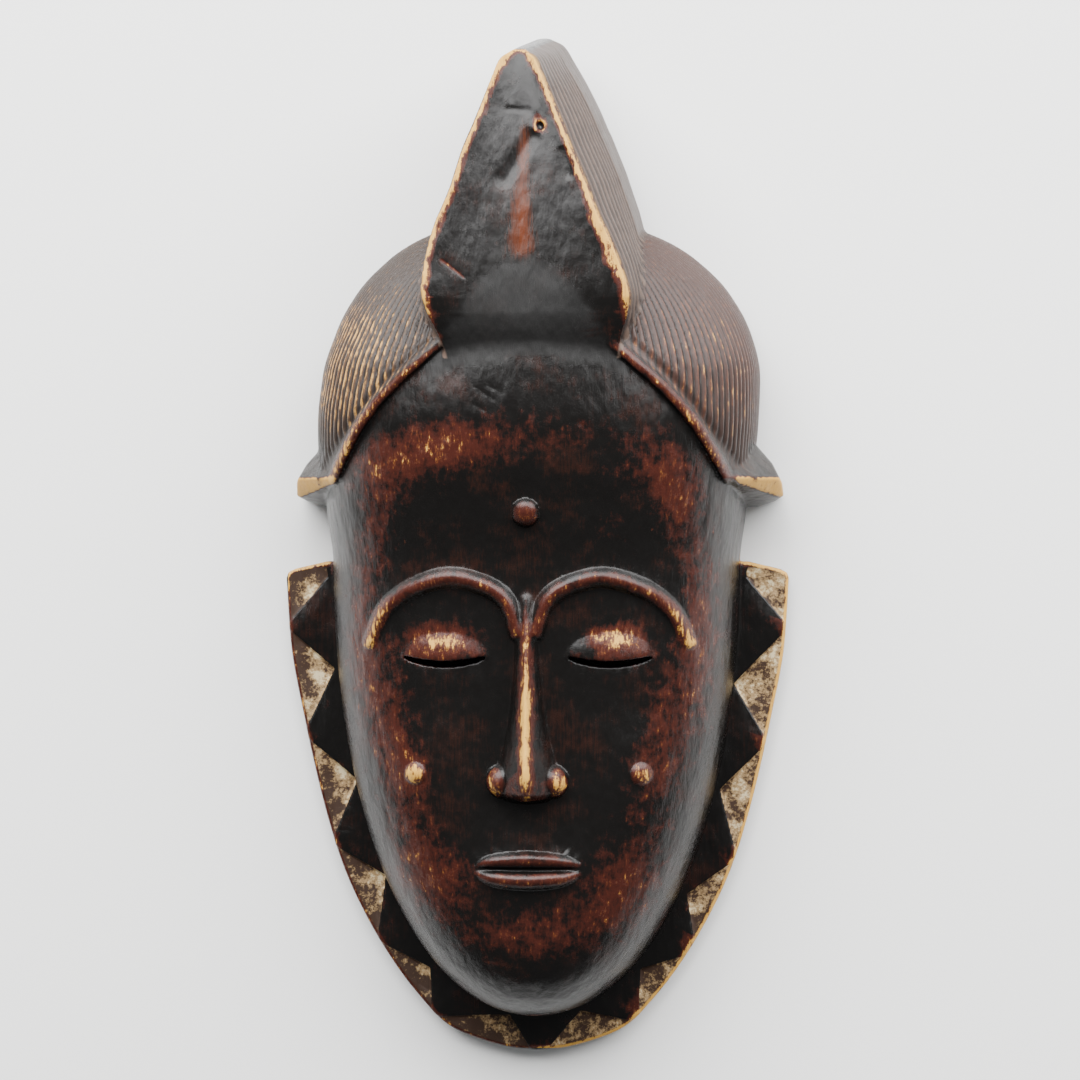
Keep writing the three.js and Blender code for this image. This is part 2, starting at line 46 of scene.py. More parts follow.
# The form is a grid of distances to the surface, negative in the wood, with this step between points.
# SHIFT_Y brings the middle of its outline to the origin.
STEP = 0.55
SHIFT_Y = 1.0
xs = np.arange(-96.5, 96.5 + STEP, STEP, dtype=np.float32)
ys = np.arange(-192.0, 190.0 + STEP, STEP, dtype=np.float32)
zs = np.arange(-2.2, 84.5 + STEP, STEP, dtype=np.float32)
X, Y = np.meshgrid(xs, ys, indexing="ij")
x3 = xs[:, None, None]
y3 = ys[None, :, None]
z3 = zs[None, None, :]
AX = np.abs(X)


def curve(table, at, column):
    """Smooth values of a table's column, without overshoot."""
    rows = np.array([[float(v) for v in row] for row in table])
    if rows[0, 0] > rows[-1, 0]:
        rows = rows[::-1]
    t = rows[:, 0]
    v = rows[:, column]
    slope = np.diff(v) / np.diff(t)
    tangent = np.concatenate([slope[:1], np.zeros(len(t) - 2), slope[-1:]])
    for i in range(1, len(t) - 1):
        before, after = slope[i - 1], slope[i]
        if before * after > 0:
            tangent[i] = 2 * before * after / (before + after)
    at = np.clip(np.asarray(at, dtype=np.float64), t[0], t[-1])
    i = np.clip(np.searchsorted(t, at, side="right") - 1, 0, len(t) - 2)
    wide = t[i + 1] - t[i]
    s = (at - t[i]) / wide
    return ((2 * s**3 - 3 * s**2 + 1) * v[i] + (s**3 - 2 * s**2 + s) * wide * tangent[i]
            + (3 * s**2 - 2 * s**3) * v[i + 1] + (s**3 - s**2) * wide * tangent[i + 1])


def soft_min(a, b, k):
    """The smaller of two, with the corner between them rounded off."""
    h = np.clip(0.5 + 0.5 * (b - a) / k, 0, 1)
    return b + (a - b) * h - k * h * (1 - h)


def soft_max(a, b, k):
    return -soft_min(-a, -b, k)


def ramp(v, low, high):
    """From 0 to 1 between two limits, with soft ends."""
    t = np.clip((v - low) / (high - low), 0, 1)
    return t * t * (3 - 2 * t)


def smooth_path(table, steps):
    """A table [step, x, y, ...] as many points on smooth curves."""
    at = np.linspace(table[0][0], table[-1][0], steps + 1)
    return np.stack([curve(table, at, c) for c in range(1, len(table[0]))], axis=1)


def to_path(u, v, path):
    """Distance to a line of points and, with it, the values along it, such as width and height."""
    best = np.full(u.shape, 1e6, dtype=np.float32)
    found = [np.zeros(u.shape, dtype=np.float32) for _ in range(path.shape[1] - 2)]
    for p, q in zip(path[:-1], path[1:]):
        d = q[:2] - p[:2]
        t = np.clip(((u - p[0]) * d[0] + (v - p[1]) * d[1]) / (d @ d), 0, 1)
        far = np.hypot(u - p[0] - t * d[0], v - p[1] - t * d[1])
        near = far < best
        best = np.where(near, far, best)
        for k, old in enumerate(found):
            found[k] = np.where(near, p[2 + k] + t * (q[2 + k] - p[2 + k]), old)
    return best, found


def inside(u, v, corners):
    """Signed distance to a closed outline, negative inside."""
    corners = np.asarray(corners, dtype=np.float64)
    best = np.full(u.shape, 1e6)
    odd = np.zeros(u.shape, dtype=bool)
    for p, q in zip(corners, np.roll(corners, -1, axis=0)):
        d = q - p
        t = np.clip(((u - p[0]) * d[0] + (v - p[1]) * d[1]) / max(d @ d, 1e-9), 0, 1)
        best = np.minimum(best, np.hypot(u - p[0] - t * d[0], v - p[1] - t * d[1]))
        over = (p[1] > v) != (q[1] > v)
        with np.errstate(divide="ignore", invalid="ignore"):
            cross = u < (q[0] - p[0]) * (v - p[1]) / (q[1] - p[1]) + p[0]
        odd ^= over & cross
    return np.where(odd, -best, best).astype(np.float32)


# The face is a plain oval, five eye widths across at the eyes.
EYE_HALF = 15.0
FACE_HALF = 76.0
OVAL_FROM = -8
OVAL_LONG = 168.4
OVAL_POWER = 2.1
# [y, half width, height, squareness of the section, middle in x], chin to dome
HEAD = [
    [-176.2, 0, 15.0, 2.4, 0], [-175.2, 0, 24.0, 2.4, 0], [-171.5, 0, 36.0, 2.5, 0],
    [-165.0, 0, 45.0, 2.5, 0], [-155.0, 0, 52.5, 2.6, 0], [-143.0, 0, 57.0, 2.6, 0],
    [-128.0, 0, 59.0, 2.7, 0], [-108.0, 0, 60.5, 2.8, 0], [-84.0, 0, 62.0, 2.8, 0],
    [-50.0, FACE_HALF, 65.0, 2.8, 0], [-8.0, FACE_HALF, 69.0, 2.8, 0],
    [12.0, 78.3, 73.0, 2.8, 0], [32.0, 79.5, 77.5, 2.7, 0.2], [48.0, 80.3, 79.0, 2.6, 0.7],
    [62.0, 79.8, 78.3, 2.5, 1.7], [78.0, 75.7, 74.5, 2.4, 2.4], [92.5, 67.9, 68.0, 2.3, 2.3],
    [104.5, 56.2, 58.5, 2.2, 2.0], [113.0, 42.0, 48.0, 2.2, 1.7], [118.5, 27.0, 36.0, 2.2, 1.5],
    [121.0, 10.0, 22.0, 2.2, 1.5],
]
down = np.clip(OVAL_FROM - ys, 0, OVAL_LONG - 0.2) / OVAL_LONG
oval = FACE_HALF * (1 - down**OVAL_POWER) ** (1 / OVAL_POWER)
half = np.where(ys < OVAL_FROM, oval, curve(HEAD, ys, 1)).astype(np.float32)
high = curve(HEAD, ys, 2).astype(np.float32)
square = curve(HEAD, ys, 3).astype(np.float32)
middle_x = curve(HEAD, ys, 4).astype(np.float32)
side = np.abs(x3 - middle_x[None, :, None])
SX = np.abs(X - middle_x[None, :])


def shell(half, high, square, low_y, high_y):
    """Distance to a shell whose sections at each y are squared half rounds."""
    p = square[None, :, None]
    up = np.maximum(z3, 0)
    rho = ((side / half[None, :, None]) ** p + (up / high[None, :, None]) ** p) ** (1 / p)
    gx, gy, gz = np.gradient(rho, STEP)
    # Near the ends the sections shrink fast, so the slope along y is given less say
    steep = np.sqrt(np.minimum(gx * gx + gy * gy + gz * gz, 6 * (gx * gx + gz * gz)))
    d = (rho - 1) / np.maximum(steep, 1e-3)
    kept = (ys >= low_y) & (ys <= high_y)
    plan = np.stack([half[kept], ys[kept]], axis=1)
    plan = inside(SX, Y, np.concatenate([[[0, low_y]], plan, [[0, high_y]]]))
    return np.maximum(d, plan[:, :, None])


body = shell(half, high, square, HEAD[0][0], HEAD[-1][0])
plain = body.copy()

# Relief of the face, as heights over the plain head in the front view. Plain thirds of the height
# between hairline and chin give the places of brows, eyes, nose and mouth.
FACE_TOP = 67.0
FACE_LONG = 238.0
EYE_X = 2 * EYE_HALF
BROW_Y = FACE_TOP - FACE_LONG * 0.345
SLIT_Y = FACE_TOP - FACE_LONG * 0.455
NOSE_Y = FACE_TOP - FACE_LONG * 0.667
MOUTH_Y = FACE_TOP - FACE_LONG * 0.778
relief = np.zeros(X.shape, dtype=np.float32)


def add_ridge(relief, table, steps, x, power):
    """Raise a ridge along [step, x, y, half width, height]. A higher power is a sharper section."""
    far, (wide, tall) = to_path(x, Y, smooth_path(table, steps))
    wide = wide * (0.6 + 0.8 * power)
    bump = tall * np.maximum(0, 1 - (far / wide) ** 2) ** power
    return np.maximum(relief, bump)


def forehead_end(x):
    """The y at which the forehead ends, along an arc below the hair and the crest."""
    return 67.6 - 0.0057 * (x - 2) ** 2


# Eye sockets sink a little under the brows, cheeks, mouth and chin swell
socket = np.exp(-((AX - EYE_X) / 20) ** 2 - ((Y - SLIT_Y - 4) / 18) ** 2)
relief -= 3.2 * socket
relief += 1.8 * np.exp(-((AX - 37) / 19) ** 2 - ((Y - NOSE_Y - 6) / 24) ** 2)
relief += 1.6 * np.exp(-(X / 25) ** 2 - ((Y - MOUTH_Y) / 13) ** 2)
relief += 1.6 * np.exp(-(X / 20) ** 2 - ((Y + 160) / 12) ** 2)
# The ground is cut down between the forehead's end and the hairline
relief -= 1.5 * ramp(Y - forehead_end(X), -9, 1.5) * ramp(59 - AX, 0, 6)
base = relief.copy()
# Upper lids, half-moons resting on the slits
lid_r = np.hypot((AX - EYE_X) / (EYE_HALF + 3.5), (Y - SLIT_Y + 0.6) / 13)
lid = 5.4 * np.clip(1 - lid_r**2.2, 0, 1) ** 0.75
lid_edge = SLIT_Y - 3.4 * (1 - ((AX - EYE_X) / 18) ** 2)
lid *= ramp(Y, lid_edge - 0.8, lid_edge + 0.8)
relief = np.maximum(relief, base + lid)
LOWER_LID = [
    [0, EYE_X - EYE_HALF - 1.5, SLIT_Y - 1.0, 1.2, 0.6], [1, EYE_X - 7, SLIT_Y - 4.0, 1.5, 1.7],
    [2, EYE_X, SLIT_Y - 4.9, 1.6, 1.9], [3, EYE_X + 7, SLIT_Y - 4.0, 1.5, 1.7],
    [4, EYE_X + EYE_HALF + 1.5, SLIT_Y - 1.0, 1.2, 0.6],
]
far, (wide, tall) = to_path(AX, Y, smooth_path(LOWER_LID, 16))
relief = np.maximum(relief, base + tall * np.sqrt(np.maximum(0, 1 - (far / wide) ** 2)))
BROW = [
    [0, 3.2, SLIT_Y + 9, 2.6, 3.6], [1, 7.0, BROW_Y - 6.5, 2.8, 3.8], [2, 14.5, BROW_Y - 0.6, 2.9, 3.7],
    [3, 27.5, BROW_Y + 2.6, 2.9, 3.5], [4, 41.5, BROW_Y - 1.2, 2.8, 3.2], [5, 52.5, BROW_Y - 9.5, 2.6, 2.7],
    [6, 58.5, BROW_Y - 21, 2.1, 1.6],
]
relief = add_ridge(relief, BROW, 40, AX, 1.0)
# Nose: a narrow ridge that widens to the wings
NOSE = [
    [NOSE_Y - 2.2, 7.0, 2.0], [NOSE_Y - 1, 9.5, 9.0], [NOSE_Y + 2, 12.0, 13.8], [NOSE_Y + 7, 11.6, 15.0],
    [SLIT_Y - 30, 8.4, 12.6], [SLIT_Y - 14, 6.0, 9.4], [SLIT_Y + 2, 4.8, 6.4], [SLIT_Y + 12, 4.2, 4.2],
    [BROW_Y - 3, 3.2, 1.5],
]
nose_half = curve(NOSE, Y, 1)
nose_high = curve(NOSE, Y, 2) * ramp(Y, NOSE_Y - 3.2, NOSE_Y - 2.0) * ramp(-Y, 1.0 - BROW_Y, 5.0 - BROW_Y)
across = np.clip(AX / nose_half, 0, 1)
nose = nose_high * (0.35 * (1 - across**2) + 0.65 * np.clip(1 - across, 0, 1) ** 0.85)
relief = soft_max(relief, nose.astype(np.float32) - 0.3, 1.2)
wing = np.hypot((AX - 9.5) / 5.5, (Y - NOSE_Y - 5.5) / 6.2)
relief = soft_max(relief, (7.4 * np.sqrt(np.clip(1 - wing**2, 0, 1))).astype(np.float32) - 0.2, 0.8)
# Lips, a knob on the forehead and one on each cheek
for bow, wide, tall, lip_y in ((2.6, 3.0, 4.6, MOUTH_Y + 0.8), (-3.4, 3.4, 5.0, MOUTH_Y - 0.8)):
    lip = [
        [0, -21.0, lip_y, 0.9, 0.4], [1, -11.5, lip_y + bow * 0.8, wide * 0.85, tall * 0.85],
        [2, 0, lip_y + bow, wide, tall], [3, 11.5, lip_y + bow * 0.8, wide * 0.85, tall * 0.85],
        [4, 21.0, lip_y, 0.9, 0.4],
    ]
    relief = add_ridge(relief, lip, 24, X, 0.7)
for knob_x, knob_y, knob_r, knob_h in ((0.0, BROW_Y + 26, 5.2, 4.2), (41.0, NOSE_Y + 8, 4.8, 3.4)):
    r = np.hypot(AX - knob_x, Y - knob_y) / knob_r
    relief = np.maximum(relief, knob_h * np.sqrt(np.clip(1 - r**2, 0, 1)))
relief = relief.astype(np.float32)
# It fades out down the sides of the head
body -= relief[:, :, None] * ramp(z3, 20, 34)

# Hair: a cap standing proud of the head, with ridges on planes through a line along Y, its lower
# edge under a rolled hairline
HAIR_FROM = 8.0
HAIR_TO = 124.0
HAIR_AXIS_Z = 30.0
HAIR_BACK_ANGLE = -20
HAIR_TOP_ANGLE = 66
HAIR_PROUD = 1.0
RIDGE_ANGLE = 2.5
RIDGE_DEEP = 1.2
# Its lower edge. [angle about the axis, y]
HAIR_EDGE = [[-22, 15], [0, 18], [10.5, 25], [21.8, 35], [30.3, 46], [41.8, 59], [54.3, 71], [62, 75]]
first = int(np.searchsorted(ys, HAIR_FROM))
last = int(np.searchsorted(ys, HAIR_TO))
cut = (slice(None), slice(first, last), slice(None))
angle = np.degrees(np.arctan2(z3 - HAIR_AXIS_Z, side[:, first:last])).astype(np.float32)
angles = np.linspace(-30, 70, 201)
past_edge = y3[:, first:last] - np.interp(angle, angles, curve(HAIR_EDGE, angles, 1)).astype(np.float32)
over = ramp(past_edge, -0.8, 0.8) * ramp(HAIR_TOP_ANGLE - angle, 0, 3)
ridges = RIDGE_DEEP * np.abs(np.sin(np.pi * ((angle - HAIR_BACK_ANGLE) / RIDGE_ANGLE))) ** 0.8
body[cut] -= over * (HAIR_PROUD + ridges * ramp(past_edge, 4.5, 8.5))
# The roll along it. [step, x, y, half width, height]
ROLL = [
    [0, 31.5, 72.5, 2.7, 2.6], [1, 39.5, 65.5, 2.7, 3.2], [2, 47.5, 58.5, 2.7, 3.3],
    [3, 59.5, 45.5, 2.7, 3.3], [4, 66.8, 34.5, 2.7, 3.1], [5, 72.6, 24.0, 2.7, 2.6],
]
far, (wide, tall) = to_path(AX, Y, smooth_path(ROLL, 30))
bead = tall * np.sqrt(np.maximum(0, 1 - (far / wide) ** 2))
bead = bead.astype(np.float32)[:, :, None] * ramp(z3, 12, 26)
body = np.minimum(body, np.where(bead > 0, plain - bead, 1e3))
del plain, over, ridges, past_edge, angle

# Lobes at the temples: wings with a flared top, a worn end and an underside. The left one stands out less
LOBE_LESS = 3.5
LOBE_BACK_Z = 13
LOBE = [[72, 38], [81, 38], [88.4, 29.5], [91.9, 22.5], [92.4, 17.8], [88.9, 15.6], [78, 12.2], [70, 14]]
# Its three faces. [x, y, z] on it, slopes in x and in y, and how much these stretch its distance
LOBE_FACES = [
    [72, 24, 51, -1.2, -1.4, 2.1], [72, 24, 51, -1.2, 1.0, 1.85], [74, 22.5, 47.1, -0.23, 4, 4.13],
]
# How softly the lobes and the border run into the head
JOIN = 0.8
out_x = np.where(X < 0, AX + LOBE_LESS, AX)
lobe = inside(out_x, Y, LOBE)
lobes = np.maximum(lobe[:, :, None], LOBE_BACK_Z - z3 - (out_x[:, :, None] - 72) * 0.55)
for x, y, z, slope_x, slope_y, stretch in LOBE_FACES:
    face = z + slope_x * (out_x - x) + slope_y * (Y - y)
    lobes = soft_max(lobes, (z3 - face[:, :, None].astype(np.float32)) / stretch, JOIN)
body = soft_min(body, lobes, JOIN)
del lobes

# Border: a flat plate with a worn bevel and sunk triangles, their bases on the outer edge
BORDER_THICK = 8.5
BORDER_BEVEL = 1.6
SHOULDER = np.array([[0, -6.5], [79, -6.8], [91, -9.6], [93.7, -11]])
BORDER = [
    [94.4, -13.0], [92.8, -37.0], [87.3, -67.0], [79.6, -100.0], [72.6, -122.0], [62.6, -143.0],
    [46.6, -167.0], [30.8, -182.3], [9.0, -189.2], [0, -190.0],
]
edge = smooth_path([[i, x, y] for i, (x, y) in enumerate(BORDER)], 72)
plate = inside(X, Y, np.concatenate([SHOULDER, edge, edge[-2::-1] * [-1, 1], SHOULDER[:0:-1] * [-1, 1]]))
walk = np.concatenate([[0], np.cumsum(np.hypot(*np.diff(edge, axis=0).T))])


def on_edge(s, inward):
    """The point this far along the border's edge from its top corner, and this far inwards."""
    s = np.clip(s, 0, walk[-1])
    p = np.array([np.interp(s, walk, edge[:, 0]), np.interp(s, walk, edge[:, 1])])
    ahead = min(s + 1, walk[-1])
    behind = ahead - 2
    d = np.array([np.interp(ahead, walk, edge[:, k]) - np.interp(behind, walk, edge[:, k]) for k in (0, 1)])
    d /= np.hypot(*d)
    return p + inward * np.array([d[1], -d[0]])


# Sunk triangles of either side, and a half one in the corner
# [start and end of the base, point, all along the edge, depth inwards]
TRIANGLES = {
    1: [
        [19.5, 61.0, 43.0, 16.0], [63.0, 105.5, 83.3, 12.5], [107.9, 141.8, 127.0, 11.0],
        [147.5, 176.2, 162.5, 10.8], [179.4, 214.0, 197.3, 12.0],
    ],
    -1: [
        [19.2, 57.4, 37.1, 15.0], [60.9, 99.7, 80.4, 14.5], [102.7, 140.7, 120.6, 13.5],
        [142.5, 175.1, 161.8, 10.0], [177.5, 216.0, 205.0, 12.0],
    ],
}
CORNER_END = 17.0
CORNER_POINT = [78.6, -12.5]
# Their outlines run this far past the edge, so that they are open there
PAST_EDGE = -2
SUNK_AT_EDGE = 0.5
SUNK_AT_POINT = 1.6
sunk = np.full(X.shape, 1e3, dtype=np.float32)
for way, rows in TRIANGLES.items():
    corners = [on_edge(CORNER_END, 0), on_edge(CORNER_END, PAST_EDGE), [95.7, -4], [79.5, -4], CORNER_POINT]
    sunk = np.minimum(sunk, inside(way * X, Y, corners))
    for begin, end, at, deep in rows:
        past = [on_edge(s, PAST_EDGE) for s in (end, (begin + end) / 2, begin)]
        corners = [on_edge(end, 0), *past, on_edge(begin, 0), on_edge(at, deep)]
        sunk = np.minimum(sunk, inside(way * X, Y, corners))
sunk_by = SUNK_AT_EDGE + (SUNK_AT_POINT - SUNK_AT_EDGE) * np.clip(-plate / 14, 0, 1)
top = (BORDER_THICK - sunk_by * ramp(-sunk, -0.2, 0.3))[:, :, None]
border = soft_max(plate[:, :, None], z3 - top, BORDER_BEVEL)
body = soft_min(body, border, JOIN)
del border

# Crest: leaning sections with a dished front and grooved sides, turned a little about its height
# [y at the front, front half width, front z, widest half]
CREST = [
    [64.5, 29.5, 76.6, 33.0], [72, 31.2, 77.6, 35.6], [78, 33.6, 79.2, 38.4],
    [83.5, 36.2, 80.5, 40.4], [89, 37.4, 80.9, 41.0], [97, 36.0, 80.3, 40.0],
    [109, 32.4, 79.0, 36.2], [123, 26.6, 77.2, 30.8], [141, 19.9, 74.5, 23.8],
    [159, 12.8, 71.0, 16.2], [169, 9.0, 68.8, 11.0], [175, 6.4, 67.0, 7.6], [177.5, 3.4, 66.0, 3.8],
]
CREST_FROM = 64.5
CREST_TO = 178.3
# The corners of its base reach down to about here
CREST_LOW = 58.0
CREST_BACK_Z = 15.0
CREST_LEAN = 0.2
# It turns about a line at this height, over this place in x, and a third of the turn shows in its height
CREST_TURN = -8
CREST_TURN_Z = 42
CREST_TURN_UP = 0.35
CREST_X = 2.5
# How far it bends to the left half way up, and then to the tip
CREST_LEFT = (1.2, 1.3)
CREST_DISH = 2.0
CREST_ARCH = 6.0
CREST_DROP = 3.2
# Rounding of its back edges, of its ends and of its foot on the head
CREST_BACK_ROUND = 4.0
CREST_END_ROUND = 2.5
CREST_FOOT_ROUND = 2.0
# Grooves from the front to this share of the way back
GROOVES = 10
GROOVED = 0.66
GROOVE_DEEP = 0.9
crest_first = int(np.searchsorted(ys, CREST_LOW))
cut = (slice(None), slice(crest_first, None), slice(None))
crest_y = y3[:, crest_first:]
levels = np.linspace(60, 180, 241)
# The section a point lies in depends on the lean and the turn there, so it is found in three rounds
level = crest_y + 0 * x3 + 0 * z3
for _ in range(3):
    t = np.radians(CREST_TURN * np.clip((level - 71) / 45, 0, 1))
    crest_x = x3 - CREST_X
    crest_x = crest_x + CREST_LEFT[0] * np.clip((level - 128) / 14, 0, 1)
    crest_x = crest_x + CREST_LEFT[1] * np.clip((level - 150) / 27, 0, 1)
    xt = np.cos(t) * crest_x - np.sin(t) * (z3 - CREST_TURN_Z)
    zt = CREST_TURN_Z + np.cos(t) * (z3 - CREST_TURN_Z) + CREST_TURN_UP * np.sin(t) * crest_x
    lean = CREST_LEAN * np.clip((level - 80) / 60, 0, 1)
    front_z = np.interp(level, levels, curve(CREST, levels, 2))
    front_z -= CREST_DROP * np.clip((88 - level) / 18, 0, 1) * np.clip((xt / 34) ** 2, 0, 1)
    arch = CREST_ARCH * np.clip((86 - level) / 20, 0, 1) * np.clip(np.abs(xt) / 36, 0, 1) ** 2
    level = crest_y - lean * (front_z - zt) + arch
front = np.interp(level, levels, curve(CREST, levels, 1)).astype(np.float32)
widest = np.interp(level, levels, curve(CREST, levels, 3)).astype(np.float32)
depth = np.clip((front_z - zt) / (front_z - CREST_BACK_Z), 0, 1.2).astype(np.float32)
# The sides swell to their widest half way back and draw in again behind the grooves
shares = np.linspace(0, 1, 101)
swell = np.interp(depth, shares, [math.sin(math.pi / 2 * min(1, v / 0.5)) if v < GROOVED
                                  else 1 - 0.1 * (v - GROOVED) / 0.19 for v in shares])
groove = GROOVE_DEEP * np.abs(np.sin(np.pi * GROOVES * depth / GROOVED)) ** 1.5
groove *= ramp(GROOVED - depth, 0, 0.02) * np.clip((177 - level) / 18, 0, 1)
flank = front + (widest - front) * swell - groove
dish = CREST_DISH * ramp(level, 74, 90) * np.clip(1 - (xt / np.maximum(front, 1)) ** 2, 0, 1)
# They also close in towards the tip, so the distance to them is a little less than straight across
crest = np.maximum((np.abs(xt) - flank) * 0.93, zt - front_z + dish)
crest = soft_max(crest, CREST_BACK_Z - 1 - zt, CREST_BACK_ROUND)
crest = soft_max(np.maximum(crest, CREST_FROM - level), level - CREST_TO, CREST_END_ROUND)
# Kept for the surface: how far a point is inside the front's edges, its section and whether it is crest
inside_front = (front - np.abs(xt)).astype(np.float32)
level = level.astype(np.float32)
crest_here = ramp(-crest, -1.8, -0.9).astype(np.float32)
body[cut] = soft_min(body[cut], crest.astype(np.float32), CREST_FOOT_ROUND)
del crest, flank, swell, groove, dish, front, widest, front_z, arch, lean, crest_x, xt, zt, t
# Damage on the front of the crest and the forehead. [x, y] of both ends, half width, depth
KNOT_HOLE = [5.2, 150.6, 5.3, 149.8, 1.5, 1.5]
SCRATCH = [-29.8, 101.6, -21.6, 95.2, 0.6, 0.3]
NICKS = [
    [2.0, 145.6, -7.6, 130.8, 3.6, 1.0], [1.2, 147.5, -3.0, 140.0, 2.4, 0.5],
    [-6.6, 156.6, 0.8, 156.0, 1.4, 0.3], KNOT_HOLE, SCRATCH,
    [13.5, 141.0, 16.0, 132.0, 2.0, 0.5], [-17.6, 56.0, -11.0, 51.4, 0.7, 0.2],
    [-14.0, 57.0, -8.4, 54.0, 0.7, 0.2], [-18.6, 50.2, -14.4, 47.6, 0.7, 0.2],
    [17.6, 44.0, 22.0, 41.6, 0.8, 0.2],
]
nicks = np.zeros(X.shape, dtype=np.float32)
for x0, y0, x1, y1, wide, deep in NICKS:
    far, _ = to_path(X, Y, np.array([[x0, y0, 0.0], [x1, y1, 0.0]]))
    nicks = np.maximum(nicks, deep * np.clip(1 - (far / wide) ** 2, 0, 1))
body += nicks[:, :, None] * ramp(z3, 40, 50)

# Hollow back, eye slits through the front, and the flat rim
WALL_SIDE = 12
WALL_FRONT = 13
HOLLOW_FROM = -161.0
HOLLOW_TO = 90.0
# The slits bow down by this much in the middle, and pass through all that lies above this height
SLIT_BOW = 2.4
SLIT_BACK_Z = 25
t = np.clip((ys - (HOLLOW_FROM + HOLLOW_TO) / 2) / ((HOLLOW_TO - HOLLOW_FROM) / 2), -0.9995, 0.9995)
end = np.sqrt(1 - np.abs(t) ** 8)
hollow_half = (np.maximum(4, half - WALL_SIDE) * end).astype(np.float32)
hollow_high = (np.maximum(6, high - WALL_FRONT) * (0.35 + 0.65 * end)).astype(np.float32)
hollow = shell(hollow_half, hollow_high, square, HOLLOW_FROM, HOLLOW_TO)
body = np.maximum(body, -hollow)
in_hollow = ramp(-hollow, -0.8, -0.3).astype(np.float16)
del hollow
u = np.clip((AX - EYE_X) / EYE_HALF, -1, 1)
slit_y = SLIT_Y - SLIT_BOW * (1 - u * u)
slit = np.maximum(np.abs(Y - slit_y) - (0.35 + 0.85 * np.sqrt(1 - u * u)), np.abs(AX - EYE_X) - EYE_HALF)
body = np.maximum(body, -np.maximum(slit[:, :, None], SLIT_BACK_Z - z3))
body = np.maximum(body, -z3).astype(np.float32)

# Its surface as polygons
BAND = 3.0
TRIANGLES_KEPT = 185000
grid = openvdb.FloatGrid(BAND)
grid.copyFromArray(np.clip(body, -BAND, BAND))
grid.transform = openvdb.createLinearTransform(voxelSize=STEP)
points, threes, fours = grid.convertToPolygons(0.0, 0.0)
# How far the surface stands out: the mean distance in a cube around a point, less the one there
CUBE_REACH = 2.2
near = int(round(CUBE_REACH / STEP))
stands_out = body.copy()
for axis in range(3):
    run = np.cumsum(stands_out, axis=axis)
    ahead = np.roll(run, -near, axis)
    behind = np.roll(run, near + 1, axis)
    stands_out = (ahead - behind) / (2 * near + 1)
stands_out = stands_out - body
del body, grid, run, ahead, behind
start = [xs[0], ys[0], zs[0]]
points = points.astype(np.float64) + start
# The rim lies flat on the floor
points[:, 2] = np.where(points[:, 2] < 0.3 * STEP, 0.0, points[:, 2])
points[:, 1] += SHIFT_Y
mesh = bpy.data.meshes.new("mask")
# Each face is turned round, so that it looks outwards
faces = [tuple(f[::-1]) for f in fours.tolist()] + [tuple(f[::-1]) for f in threes.tolist()]
mesh.from_pydata((points / 1000).tolist(), [], faces)
mask = bpy.data.objects.new("mask_carved", mesh)
bpy.context.scene.collection.objects.link(mask)
thin = mask.modifiers.new("thin", "DECIMATE")
# Nearly all faces have four corners, which makes two triangles of each
thin.ratio = min(1.0, TRIANGLES_KEPT / (2 * len(faces)))
seen = mask.evaluated_get(bpy.context.evaluated_depsgraph_get())
mesh = bpy.data.meshes.new_from_object(seen)
mask.modifiers.clear()
mask.data = mesh
mesh.shade_smooth()

# What changes over the surface is worked out at each vertex: where it is worn or dull, how far it
# stands out, whether it is hair, crest, lobe or back, and where between two grooves it lies
flat = np.empty(3 * len(mesh.vertices), dtype=np.float32)
mesh.vertices.foreach_get("co", flat)
place = flat.reshape(-1, 3) * 1000 - [0, SHIFT_Y, 0]
px, py, pz = place.T


def look_up(volume, low):
    """Values of a grid at the vertices, between its points."""
    at = [np.clip((place[:, k] - low[k]) / STEP, 0, volume.shape[k] - 1.001) for k in range(volume.ndim)]
    i = [a.astype(int) for a in at]
    f = [a - b for a, b in zip(at, i)]
    total = 0
    for corner in range(2 ** volume.ndim):
        bits = [(corner >> k) & 1 for k in range(volume.ndim)]
        weight = np.prod([f[k] if b else 1 - f[k] for k, b in enumerate(bits)], axis=0)
        total = total + weight * volume[tuple(i[k] + b for k, b in enumerate(bits))]
    return total


def spot(x, y, wide, tall, turned=0.0):
    """1 at a place in the view from the front, fading out over these widths."""
    c = math.cos(math.radians(turned))
    s = math.sin(math.radians(turned))
    u = (c * (px - x) + s * (py - y)) / wide
    v = (c * (py - y) - s * (px - x)) / tall
    return np.exp(-u * u - v * v)


crest_start = [xs[0], ys[crest_first], zs[0]]
on_crest = look_up(crest_here, crest_start) * ramp(py, 65.5, 67.5)
in_front = np.clip(look_up(inside_front, crest_start), -20, 20)
crest_level = look_up(level, crest_start)
crest_depth = look_up(depth, crest_start)
from_middle = np.abs(px - np.interp(py, ys, middle_x))
around = np.degrees(np.arctan2(pz - HAIR_AXIS_Z, from_middle))
past_edge = py - np.interp(around, [row[0] for row in HAIR_EDGE], [row[1] for row in HAIR_EDGE])
out_x = np.where(px < 0, -px + LOBE_LESS, px)
